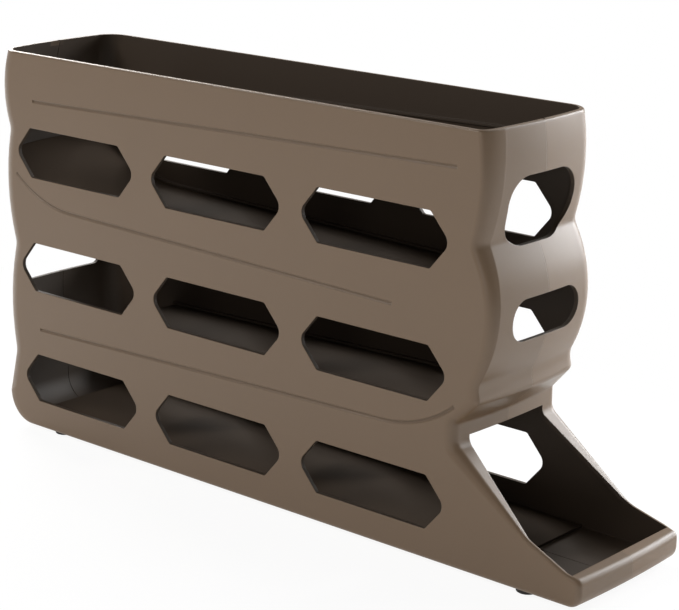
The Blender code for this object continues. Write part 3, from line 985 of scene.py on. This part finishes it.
@dataclass(frozen=True)
class TrackLine:
    """Line of a track's underside: a straight climb from its drop edge, and a catch that turns up."""

    name: str
    drawing: Drawing
    level: float
    heading: Heading
    drop_edge: float
    far_end: float
    crease_start: float
    crease_end: float
    has_catch: bool = True
    slope: float = math.radians(1.46)
    catch_radius: float = 0.064
    catch_sweep: float = math.radians(38.0)
    catch_steps: int = 16
    tail: float = 0.020
    groove_sides: int = 40

    @property
    def along(self) -> Vector:
        """Direction of the straight climb."""
        return Vector((math.cos(self.slope) * self.heading.value, 0.0, math.sin(self.slope)))

    @property
    def upright(self) -> Vector:
        """Direction square to the straight climb, upward."""
        return Vector((-math.sin(self.slope) * self.heading.value, 0.0, math.cos(self.slope)))

    def point(self, x: float) -> Vector:
        """Point of the straight climb at x."""
        rise = math.tan(self.slope) * self.heading.value * (x - self.drawing.rim_length / 2)
        return Vector((x, 0.0, self.level + rise))

    def carry(self, mesh_data: bmesh.types.BMesh, start: float, end: float, tail: float = 0.0) -> None:
        """Carry a lone face along the line, and finish the solid that it leaves.

        Args:
            mesh_data: mesh that holds nothing but the face, standing at the start.
            start: x where the face stands.
            end: x where the straight climb ends.
            tail: how far the last direction is carried on.
        """
        def grow(profile: list, travel: Vector) -> list:
            """Extrude the profile.

            Args:
                profile: the face, which may come with its vertices.
                travel: way and length of the extrusion.

            Returns:
                The face and the vertices at the far end.
            """
            kept = [item for item in profile if not isinstance(item, bmesh.types.BMVert)]
            grown = bmesh.ops.extrude_face_region(mesh_data, geom=kept)["geom"]
            verts = [item for item in grown if isinstance(item, bmesh.types.BMVert)]
            bmesh.ops.translate(mesh_data, verts=verts, vec=travel)
            return [item for item in grown if isinstance(item, (bmesh.types.BMFace, bmesh.types.BMVert))]

        profile = grow(list(mesh_data.faces), self.point(end) - self.point(start))
        direction = self.along
        if self.has_catch:
            centre = self.point(end) + self.upright * self.catch_radius
            angle = -self.heading.value * self.catch_sweep
            profile = bmesh.ops.spin(mesh_data, geom=profile, cent=centre, axis=(0.0, 1.0, 0.0), angle=angle,
                                     steps=self.catch_steps, use_duplicate=False)["geom_last"]
            direction = Matrix.Rotation(angle, 3, "Y") @ direction
        if tail > 0.0:
            grow(profile, direction * tail)
        inner = [face for face in mesh_data.faces if all(len(edge.link_faces) > 2 for edge in face.edges)]
        bmesh.ops.delete(mesh_data, geom=inner, context="FACES_ONLY")
        bmesh.ops.remove_doubles(mesh_data, verts=mesh_data.verts, dist=FINE_WELD)
        bmesh.ops.recalc_face_normals(mesh_data, faces=mesh_data.faces)

    def strip(self, bottom: float, top: float, low: float, high: float) -> bmesh.types.BMesh:
        """Solid strip along the line.

        Args:
            bottom: distance of its lower face above the line.
            top: distance of its upper face above the line.
            low: lower limit across the body.
            high: upper limit across the body.

        Returns:
            The strip, from the drop edge into the end wall.
        """
        mesh_data = bmesh.new()
        base = self.point(self.drop_edge)
        corners = [base + self.upright * lift + Vector((0.0, y, 0.0))
                   for lift, y in ((bottom, low), (bottom, high), (top, high), (top, low))]
        mesh_data.faces.new([mesh_data.verts.new(point) for point in corners])
        self.carry(mesh_data, self.drop_edge, self.far_end, self.tail)
        return mesh_data

    def groove(self, face: float, depth: float, width: float) -> bmesh.types.BMesh:
        """Round rod that cuts the crease of the channel into a side face.

        Args:
            face: place of the side face along Y.
            depth: depth of the crease.
            width: width of the crease at the face.

        Returns:
            The rod as a solid.
        """
        radius = (width * width / 4 + depth * depth) / (2 * depth)
        centre = self.point(self.crease_start)
        centre.y = face + math.copysign(radius - depth, face)
        turn = Matrix.Rotation(-self.slope * self.heading.value, 4, "Y") @ Matrix.Rotation(math.pi / 2, 4, "Y")
        mesh_data = bmesh.new()
        bmesh.ops.create_circle(mesh_data, cap_ends=True, segments=self.groove_sides, radius=radius,
                                matrix=Matrix.Translation(centre) @ turn)
        self.carry(mesh_data, self.crease_start, self.far_end if self.has_catch else self.crease_end)
        return mesh_data


@dataclass(frozen=True)
class TrackSet:
    """The three zigzag track lines."""

    drawing: Drawing
    left_catch_start: float = 0.0505
    right_catch_start: float = 0.0539
    crease_left: float = 0.0253
    crease_right: float = 0.0160

    def lines(self) -> list[TrackLine]:
        """Track lines of the body.

        Returns:
            The lines from the lowest to the highest.
        """
        drawing = self.drawing
        rim = drawing.rim_length
        gap = drawing.egg_diameter + drawing.drop_clearance
        left = drawing.wall - drawing.left_base_out + gap
        right = rim - drawing.right_setback - gap
        low, pitch = drawing.track_level, drawing.tier_pitch
        return [
            TrackLine("track_lower", drawing, low, Heading.TO_CHUTE, left, rim - self.right_catch_start,
                      self.crease_left, rim),
            TrackLine("track_middle", drawing, low + pitch, Heading.FROM_CHUTE, right, self.left_catch_start,
                      right, 0.0),
            TrackLine("track_upper", drawing, low + 2 * pitch, Heading.TO_CHUTE, left, rim,
                      self.crease_left, rim - self.crease_right, has_catch=False),
        ]


@dataclass(frozen=True)
class Room:
    """Space between the walls, which the inner pieces are trimmed to."""

    drawing: Drawing

    def solid(self, name: str, walls: float, extra: float) -> bpy.types.Object:
        """Solid that fills the body up to a distance from its outer skin.

        Args:
            name: name of the helper object.
            walls: share of the wall that is left out.
            extra: further distance that is left out.

        Returns:
            The helper object.
        """
        drawing = self.drawing.even()
        section = Section(drawing, walls, extra, -drawing.overrun)
        face = drawing.half_width - drawing.wall * walls - extra
        rings = section.face_rings(-face) + section.face_rings(face)[::-1]
        return Bench.lay(name, Bench.loft(rings))


@dataclass(frozen=True)
class WindowSizes:
    """The long pointed windows in a side face."""

    band: float = 0.0331
    post: float = 0.0102
    point: float = 0.0108
    tip_radius: float = 0.0050
    corner_radius: float = 0.0015
    left: float = 0.0118
    right: float = 0.0186
    sag: float = 0.00015
    columns: int = 3
    edge: float = 0.00030
    inner_edge: float = 0.0002
    least_wall_share: float = 0.7
    tip_steps: int = 12
    corner_steps: int = 4
    edge_steps: int = 3


@dataclass(frozen=True)
class HoleSizes:
    """One rounded hole in an end wall. Its middle is lifted from the level that it is set out from."""

    width: float
    height: float
    lift: float
    radius: float
    rear_low_radius: float
    shift: float = 0.0
    corner_steps: int = 14


@dataclass(frozen=True)
class HalfShell:
    """One moulded half of the body, with its channels, openings and lap joint."""

    side: Side
    drawing: Drawing
    tracks: TrackSet
    finish: MouldedPlastic
    windows: WindowSizes = WindowSizes()
    finger_hole: HoleSizes = HoleSizes(0.0460, 0.0300, lift=-0.0364, radius=0.0120, rear_low_radius=0.0172)
    peep_hole: HoleSizes = HoleSizes(0.0465, 0.0186, lift=-0.0039, radius=0.0092, rear_low_radius=0.0092,
                                     shift=-0.0010)
    end_slot: HoleSizes = HoleSizes(0.0516, 0.0195, lift=0.0246, radius=0.0035, rear_low_radius=0.0035)
    seam_gap: float = 0.00001
    tongue_wall: float = 0.00085
    tongue_reach: float = 0.0015
    rim_round: float = 0.0010
    rim_steps: int = 5
    rim_inner_round: float = 0.00035
    rim_inner_steps: int = 3
    mouth_top_width: float = 0.0520
    mouth_drop: float = 0.0064
    ledge_width: float = 0.0025
    ledge_thickness: float = 0.0015
    keeper_width: float = 0.0018
    keeper_thickness: float = 0.0012
    root_depth: float = 0.0010
    crease_depth: float = 0.0005
    crease_width: float = 0.0016

    @property
    def name(self) -> str:
        """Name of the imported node."""
        return "front_shell" if self.side is Side.FRONT else "rear_shell"

    def outer(self) -> bpy.types.Object:
        """Outside of the half as a solid with its rim rounded over.

        Returns:
            The solid that is hollowed next.
        """
        drawing, sign = self.drawing.of_side(self.side), self.side.value
        seam = self.seam_gap / 2
        section = Section(drawing, 0.0, 0.0, 0.0)
        rings = section.face_rings(sign * drawing.half_width)
        rings.append(section.ring(sign * seam))
        if self.side is Side.FRONT:
            tongue = Section(drawing, 1.0, -self.tongue_wall, 0.0)
            rings += [tongue.ring(-seam), tongue.ring(self.tongue_reach)]
        mesh_data = Bench.loft(rings)
        top = drawing.shell_height
        flat = [face for face in mesh_data.faces if all(abs(vert.co.z - top) < TINY for vert in face.verts)]
        inner = [edge for edge in mesh_data.edges if all(face in flat for face in edge.link_faces)]
        bmesh.ops.dissolve_edges(mesh_data, edges=inner, use_verts=False, use_face_split=False)
        rim = [edge for edge in mesh_data.edges
               if all(abs(vert.co.z - top) < TINY for vert in edge.verts)
               and not all(abs(vert.co.y) < 2 * seam + TINY for vert in edge.verts)]
        Bench.soften(mesh_data, rim, self.rim_round, self.rim_steps, clamp=False)
        return Bench.lay(self.name + "_visual", mesh_data)

    def hollow(self) -> bpy.types.Object:
        """Cavity of the half. The rear one steps out beside the seam to take the tongue.

        Returns:
            The cutter.
        """
        drawing = self.drawing.of_side(self.side)
        section = Section(drawing, 1.0, 0.0, -drawing.overrun)
        rings = section.face_rings(self.side.value * drawing.inner_half_width)
        if self.side is Side.FRONT:
            rings.append(section.ring(self.tongue_reach + drawing.overrun))
        else:
            rebate = Section(drawing, 1.0, -self.tongue_wall - drawing.fit, -2 * drawing.overrun)
            step = self.tongue_reach + drawing.fit
            rings += [section.ring(step), rebate.ring(step), rebate.ring(-drawing.overrun)]
        return Bench.lay("hollow", Bench.loft(rings))

    def channels(self) -> bpy.types.Object:
        """Ledges and keeper ribs that hold the tracks, rooted in the wall.

        Returns:
            The solid that is joined to the half.
        """
        drawing, sign = self.drawing, self.side.value
        outside = sign * drawing.half_width
        ledge = sign * (drawing.inner_half_width - self.ledge_width)
        keeper = sign * (drawing.inner_half_width - self.keeper_width)
        over = drawing.track_thickness + drawing.fit
        strips = []
        for line in self.tracks.lines():
            strips.append(line.strip(-drawing.fit - self.ledge_thickness, -drawing.fit, ledge, outside))
            strips.append(line.strip(over, over + self.keeper_thickness, keeper, outside))
        item = Bench.lay("channels", *strips)
        Bench.work(item, Step.TRIM, Room(drawing).solid("root", 1.0, -self.root_depth))
        return item

    def window_cutter(self) -> bpy.types.Object:
        """Cutter of the pointed windows in the side face.

        Returns:
            The cutter.
        """
        drawing, sizes, sign = self.drawing, self.windows, self.side.value
        pitch = (drawing.rim_length - sizes.left - sizes.right + sizes.post) / sizes.columns
        length = pitch - sizes.post
        half = (drawing.tier_pitch - sizes.band) / 2
        low = drawing.track_level - drawing.tier_pitch / 2 - sizes.sag
        inside = sign * (drawing.inner_half_width - self.ledge_width - drawing.overrun)
        travel = Vector((0.0, sign * (drawing.half_width + drawing.overrun) - inside, 0.0))
        plan = [(0.0, 0.0), (sizes.point, -half), (length - sizes.point, -half), (length, 0.0),
                (length - sizes.point, half), (sizes.point, half)]
        prisms = []
        for row in range(drawing.tier_count):
            for column in range(sizes.columns):
                x, z = sizes.left + column * pitch, low + row * drawing.tier_pitch
                mesh_data = bmesh.new()
                verts = [mesh_data.verts.new((x + along, inside, z + up)) for along, up in plan]
                mesh_data.faces.new(verts)
                Bench.round_corners(mesh_data, [verts[0], verts[3]], sizes.tip_radius, sizes.tip_steps)
                sharp = [vert for vert in mesh_data.verts if abs(abs(vert.co.z - z) - half) < TINY]
                Bench.round_corners(mesh_data, sharp, sizes.corner_radius, sizes.corner_steps)
                Bench.thicken(mesh_data, mesh_data.faces[:][0], travel)
                prisms.append(mesh_data)
        return Bench.lay("windows", *prisms)

    def hole_cutters(self) -> list[bpy.types.Object]:
        """Cutters of the finger hole, the peep hole and the slot in the end walls.

        Returns:
            The cutters in this order.
        """
        drawing = self.drawing
        right_wall = (drawing.throat_x, drawing.lip_front)
        left_wall = (-drawing.throat_setback, drawing.throat_setback)
        holes = ((self.finger_hole, drawing.shell_height, right_wall),
                 (self.peep_hole, drawing.track_level + drawing.tier_pitch, right_wall),
                 (self.end_slot, drawing.track_level, left_wall))
        cutters = []
        for hole, base, (start, end) in holes:
            level = base + hole.lift
            mesh_data = bmesh.new()
            verts = [mesh_data.verts.new((start, hole.shift + y * hole.width / 2, level + z * hole.height / 2))
                     for y, z in ((1, -1), (1, 1), (-1, 1), (-1, -1))]
            mesh_data.faces.new(verts)
            Bench.round_corners(mesh_data, verts[1:], hole.radius, hole.corner_steps)
            Bench.round_corners(mesh_data, verts[:1], hole.rear_low_radius, hole.corner_steps)
            Bench.thicken(mesh_data, mesh_data.faces[:][0], Vector((end - start, 0.0, 0.0)))
            cutters.append(Bench.lay("hole", mesh_data))
        return cutters

    def mouth_cutter(self) -> bpy.types.Object:
        """Cutter of the chute mouth, which widens from the throat towards the lip.

        Returns:
            The cutter.
        """
        drawing = self.drawing
        half, wide = self.mouth_top_width / 2, drawing.inner_half_width
        bend = drawing.rim_length + drawing.bend_reach
        front = drawing.lip_front - drawing.lip_wall
        back = drawing.throat_x - drawing.wall - drawing.overrun
        low = drawing.wall + drawing.overrun
        plan = [(back, -half), (drawing.throat_x, -half), (bend, -wide), (front, -wide),
                (front, wide), (bend, wide), (drawing.throat_x, half), (back, half)]
        travel = Vector((0.0, 0.0, drawing.throat_top - self.mouth_drop - low))
        return Bench.lay("mouth", Bench.prism([Vector((x, y, low)) for x, y in plan], travel))

    def seat_cutter(self) -> bpy.types.Object:
        """Cutter of the seats of the feet.

        Returns:
            The cutter.
        """
        drawing = self.drawing
        radius = drawing.foot_diameter / 2 + drawing.fit
        depth = drawing.overrun + drawing.foot_recess
        return Bench.lay("seats", *(foot.disc(radius, -drawing.overrun, depth) for foot in feet_of(drawing)))

    def crease_cutter(self) -> bpy.types.Object:
        """Cutter of the shallow creases that trace the channels in the side face.

        Returns:
            The cutter, one rod to a channel.
        """
        face = self.side.value * self.drawing.half_width
        rods = [line.groove(face, self.crease_depth, self.crease_width) for line in self.tracks.lines()]
        return Bench.lay("creases", *rods)

    def soften_openings(self, mesh_data: bmesh.types.BMesh) -> None:
        """Round the edges of the windows and the inner edge of the rim.

        Args:
            mesh_data: mesh of the half.
        """
        drawing, sizes, sign = self.drawing, self.windows, self.side.value
        faces = ((sign * drawing.half_width, sizes.edge), (sign * drawing.inner_half_width, sizes.inner_edge))
        for place, width in faces:
            edges = [edge for edge in mesh_data.edges if self.is_window_edge(edge, place)]
            Bench.soften(mesh_data, edges, width, sizes.edge_steps)
        rim = [edge for edge in mesh_data.edges if self.is_inner_rim(edge, drawing.shell_height)]
        Bench.soften(mesh_data, rim, self.rim_inner_round, self.rim_inner_steps)

    def is_window_edge(self, edge: bmesh.types.BMEdge, place: float) -> bool:
        """Tell whether an edge borders the wall of a window.

        Args:
            edge: edge of the half.
            place: place along Y of the side face that the edge has to lie on.

        Returns:
            True if it does.
        """
        if len(edge.link_faces) != 2 or any(abs(vert.co.y - place) > TINY for vert in edge.verts):
            return False
        flat = [face for face in edge.link_faces if abs(face.normal.y) > ALONG]
        walls = [face for face in edge.link_faces if abs(face.normal.y) < EDGE_ON]
        if len(flat) != 1 or len(walls) != 1:
            return False
        depth = max(vert.co.y for vert in walls[0].verts) - min(vert.co.y for vert in walls[0].verts)
        return depth > self.drawing.wall * self.windows.least_wall_share

    def is_inner_rim(self, edge: bmesh.types.BMEdge, top: float) -> bool:
        """Tell whether an edge borders the flat of the rim on the inside.

        Args:
            edge: edge of the half.
            top: height of the rim.

        Returns:
            True if it does, away from the lap joint.
        """
        if len(edge.link_faces) != 2 or any(abs(vert.co.z - top) > TINY for vert in edge.verts):
            return False
        if any(abs(vert.co.y) < self.tongue_reach + self.drawing.fit + TINY for vert in edge.verts):
            return False
        normals = sorted(abs(face.normal.z) for face in edge.link_faces)
        return normals[0] < LEANING and normals[1] > NEARLY_ALONG

    def skin(self) -> BVHTree:
        """Search tree of the whole body's outside, without the seam.

        Returns:
            The tree, in the drawing's place.
        """
        drawing = self.drawing.of_side(self.side)
        section = Section(drawing, 0.0, 0.0, 0.0)
        near, far = (section.face_rings(side.value * drawing.half_width) for side in Side)
        mesh_data = Bench.loft([*near, *reversed(far)])
        tree = BVHTree.FromBMesh(mesh_data)
        mesh_data.free()
        return tree

    def build(self) -> None:
        """Model the half, set it into the frame and dress it."""
        item = self.outer()
        Bench.work(item, Step.CUT, self.hollow())
        Bench.work(item, Step.JOIN, self.channels())
        Bench.work(item, Step.CUT, *self.hole_cutters(), self.mouth_cutter(), self.seat_cutter(),
                   self.window_cutter(), self.crease_cutter())
        Bench.reworked(item, self.soften_openings)
        Bench.note_depth(item, self.skin())
        Bench.dress(item, self.drawing.place(), self.finish.material(), self.name, "shell_plastic")


@dataclass(frozen=True)
class TrackPlate:
    """One sloping track plate, lying in the channels of both halves."""

    line: TrackLine
    finish: MouldedPlastic
    nose_round: float = 0.0007
    nose_steps: int = 4

    def build(self) -> None:
        """Model the plate, set it into the frame and dress it."""
        drawing = self.line.drawing
        plate = self.line.strip(0.0, drawing.track_thickness, -drawing.half_width, drawing.half_width)
        nose = [edge for edge in plate.edges
                if all(abs(vert.co.x - self.line.drop_edge) < drawing.track_thickness for vert in edge.verts)
                and abs(edge.verts[0].co.y - edge.verts[1].co.y) > drawing.half_width]
        Bench.soften(plate, nose, self.nose_round, self.nose_steps)
        item = Bench.lay(self.line.name + "_visual", plate)
        Bench.work(item, Step.TRIM, Room(drawing).solid("room", 1.0, drawing.fit))
        Bench.dress(item, drawing.place(), self.finish.material(), self.line.name, "track_plastic")


@dataclass(frozen=True)
class FloorRamp:
    """Thin sloping floor on cross ribs, which carries the last tier towards the lip."""

    drawing: Drawing
    finish: MouldedPlastic
    slope: float = math.radians(0.5)
    nose: float = 0.0009
    skin: float = 0.0009
    rib: float = 0.0016
    bays: int = 5
    left: float = 0.0135
    right: float = 0.0170

    def build(self) -> None:
        """Model the ramp, set it into the frame and dress it."""
        drawing = self.drawing
        end = drawing.throat_x + self.right
        base = drawing.wall + drawing.fit
        bay = (end - self.left) / self.bays

        def top(x: float) -> float:
            """Height of the rolling face at x."""
            return base + self.nose + math.tan(self.slope) * (end - x)

        line = [(self.left, base)]
        for index in range(self.bays - 1):
            start, stop = self.left + index * bay + self.rib, self.left + (index + 1) * bay
            line += [(start, base), (start, top(start) - self.skin), (stop, top(stop) - self.skin), (stop, base)]
        line += [(end, base), (end, top(end)), (self.left, top(self.left))]
        outline = [Vector((x, -drawing.half_width, z)) for x, z in line]
        item = Bench.lay("floor_ramp_visual", Bench.prism(outline, Vector((0.0, drawing.shell_width, 0.0))))
        Bench.work(item, Step.TRIM, Room(drawing).solid("room", 1.0, drawing.fit))
        Bench.dress(item, drawing.place(), self.finish.material(), "floor_ramp", "track_plastic")


@dataclass(frozen=True)
class Foot:
    """Round rubber foot pressed into its seat under the body."""

    name: str
    x: float
    y: float
    drawing: Drawing
    edge: float = 0.0007
    edge_steps: int = 4

    def disc(self, radius: float, low: float, height: float) -> bmesh.types.BMesh:
        """Round disc at the place of the foot.

        Args:
            radius: radius of the disc.
            low: height of its underside.
            height: thickness of the disc.

        Returns:
            The closed solid.
        """
        mesh_data = bmesh.new()
        bmesh.ops.create_circle(mesh_data, cap_ends=True, segments=self.drawing.foot_sides, radius=radius,
                                matrix=Matrix.Translation((self.x, self.y, low)))
        Bench.thicken(mesh_data, mesh_data.faces[:][0], Vector((0.0, 0.0, height)))
        return mesh_data

    def build(self, finish: FootRubber) -> None:
        """Model the foot, set it into the frame and dress it.

        Args:
            finish: rubber of the foot.
        """
        drawing = self.drawing
        height = drawing.foot_height + drawing.foot_recess - drawing.fit
        mesh_data = self.disc(drawing.foot_diameter / 2, -drawing.foot_height, height)
        low = [edge for edge in mesh_data.edges
               if all(abs(vert.co.z + drawing.foot_height) < TINY for vert in edge.verts)]
        Bench.soften(mesh_data, low, self.edge, self.edge_steps)
        item = Bench.lay(self.name + "_visual", mesh_data)
        Bench.dress(item, drawing.place(), finish.material(), self.name, "foot_rubber")


def feet_of(drawing: Drawing) -> list[Foot]:
    """The four feet under the corners of the body.

    Args:
        drawing: sizes of the body.

    Returns:
        The feet in the drawing's place.
    """
    across = drawing.half_width - drawing.foot_inset
    ends = (("left", drawing.foot_left), ("right", drawing.rim_length + drawing.foot_right_out))
    return [Foot(f"foot_{row}_{end}", x, y, drawing)
            for row, y in (("front", -across), ("rear", across)) for end, x in ends]


@dataclass(frozen=True)
class SoftBox:
    """One large soft lamp, aimed at the object."""

    name: str
    place: Place
    width: float
    height: float
    power: float
    colour: Rgb

    def build(self, aim: Vector) -> None:
        """Hang the lamp and turn it.

        Args:
            aim: point that the lamp looks at.
        """
        data = bpy.data.lights.new(self.name, "AREA")
        data.shape = "RECTANGLE"
        data.size, data.size_y = self.width, self.height
        data.energy = self.power
        data.color = self.colour
        item = bpy.data.objects.new(self.name, data)
        item.location = self.place
        item.visible_camera = False
        item.rotation_mode = "QUATERNION"
        item.rotation_quaternion = (aim - Vector(self.place)).to_track_quat("-Z", "Y")
        bpy.context.scene.collection.objects.link(item)


@dataclass(frozen=True)
class Studio:
    """Paper floor, soft lamps, even surround and the camera."""

    floor_radius: float = 6.0
    floor_sides: int = 96
    surround: float = 0.02
    gloss_surround: float = 0.35
    lamps: tuple[SoftBox, ...] = (
        SoftBox("side_box", (-0.60, -1.00, 1.10), width=0.8, height=0.6, power=10.2, colour=WARM_LIGHT),
        SoftBox("front_box", (0.70, -1.20, 0.45), width=0.6, height=0.5, power=1.8, colour=WARM_LIGHT),
        SoftBox("back_box", (0.60, 1.40, 0.38), width=1.0, height=0.5, power=15.0, colour=COOL_LIGHT),
        SoftBox("high_box", (0.42, 1.32, 0.72), width=0.5, height=0.4, power=14.0, colour=COOL_LIGHT),
        SoftBox("top_box", (0.20, 0.90, 1.10), width=0.6, height=0.6, power=3.0, colour=(1.0, 0.985, 0.97)),
        SoftBox("edge_box", (-1.38, 0.59, 0.80), width=0.7, height=0.7, power=24.0, colour=(1.0, 0.97, 0.93)),
    )
    aim: Place = (0.0, 0.0, 0.09)
    camera_place: Place = (0.61575, -0.6801, 0.3542)
    azimuth: float = math.radians(41.42)
    elevation: float = math.radians(16.11)
    roll: float = math.radians(0.39)
    focal_pixels: float = 2061.61
    picture_width: float = 679.0
    sensor: float = 36.0
    clip_start: float = 0.05
    clip_end: float = 50.0

    def build(self) -> None:
        """Set up the floor, the lamps, the surround and the camera."""
        mesh_data = bmesh.new()
        bmesh.ops.create_circle(mesh_data, cap_ends=True, segments=self.floor_sides, radius=self.floor_radius)
        floor = Bench.lay("paper_floor", mesh_data)
        floor.data.materials.append(BackdropPaper().material())
        for lamp in self.lamps:
            lamp.build(Vector(self.aim))
        self.surround_light()
        self.camera()
        bpy.context.scene.view_settings.view_transform = "Standard"

    def surround_light(self) -> None:
        """Even grey surround, seen as white by the camera."""
        world = bpy.data.worlds.new("surround")
        world.use_nodes = True
        world.node_tree.nodes.clear()
        board = NodeBoard(world.node_tree)
        rays = board.node("ShaderNodeLightPath", {}, {})
        even, glossy, white = (board.node("ShaderNodeBackground", {}, {"Color": WHITE, "Strength": strength})
                               for strength in (self.surround, self.gloss_surround, 1.0))
        seen = even.outputs[0]
        for ray, light in (("Is Glossy Ray", glossy), ("Is Camera Ray", white)):
            mixed = board.node("ShaderNodeMixShader", {}, {0: rays.outputs[ray], 1: seen, 2: light.outputs[0]})
            seen = mixed.outputs[0]
        board.node("ShaderNodeOutputWorld", {}, {"Surface": seen})
        bpy.context.scene.world = world

    def camera(self) -> None:
        """Camera at the place and angle that were solved from the picture."""
        sin_a, cos_a = math.sin(self.azimuth), math.cos(self.azimuth)
        back = Vector((sin_a * math.cos(self.elevation), -cos_a * math.cos(self.elevation),
                       math.sin(self.elevation)))
        level = (-back).cross(Vector((0.0, 0.0, 1.0))).normalized()
        up = back.cross(level)
        tilt = Matrix.Rotation(self.roll, 3, back)
        level, up = tilt @ level, tilt @ up
        data = bpy.data.cameras.new("camera")
        data.sensor_width = self.sensor
        data.lens = self.focal_pixels * self.sensor / self.picture_width
        data.clip_start, data.clip_end = self.clip_start, self.clip_end
        item = bpy.data.objects.new("camera", data)
        axes = Matrix((level, up, back)).transposed()
        item.matrix_world = Matrix.Translation(self.camera_place) @ axes.to_4x4()
        bpy.context.scene.collection.objects.link(item)
        bpy.context.scene.camera = item


def main() -> None:
    """Build every piece in the order it goes together, then the studio."""
    logging.basicConfig(level=logging.INFO, format="%(message)s")
    drawing = Drawing()
    tracks = TrackSet(drawing)
    # Both halves are the same plastic. The rear copy is painted lighter as painted light, for the half that catches
    # more light.
    front = MouldedPlastic("taupe_front_shell", colour=(0.164, 0.109, 0.066))
    rear = MouldedPlastic("taupe_rear_shell", colour=(0.192, 0.128, 0.079))
    # Painted shade: the plates and the floor ramp are the shells' plastic, painted much darker for the shaded inside
    plate = MouldedPlastic("taupe_plate", colour=(0.055, 0.039, 0.027), roughness=0.80, specular=0.1)
    for side, finish in ((Side.FRONT, front), (Side.REAR, rear)):
        HalfShell(side, drawing, tracks, finish).build()
    for line in tracks.lines():
        TrackPlate(line, replace(plate, name="taupe_" + line.name)).build()
    FloorRamp(drawing, replace(plate, name="taupe_floor_ramp")).build()
    for foot in feet_of(drawing):
        foot.build(FootRubber("rubber_" + foot.name))
    Studio().build()


if __name__ == "__main__":
    main()
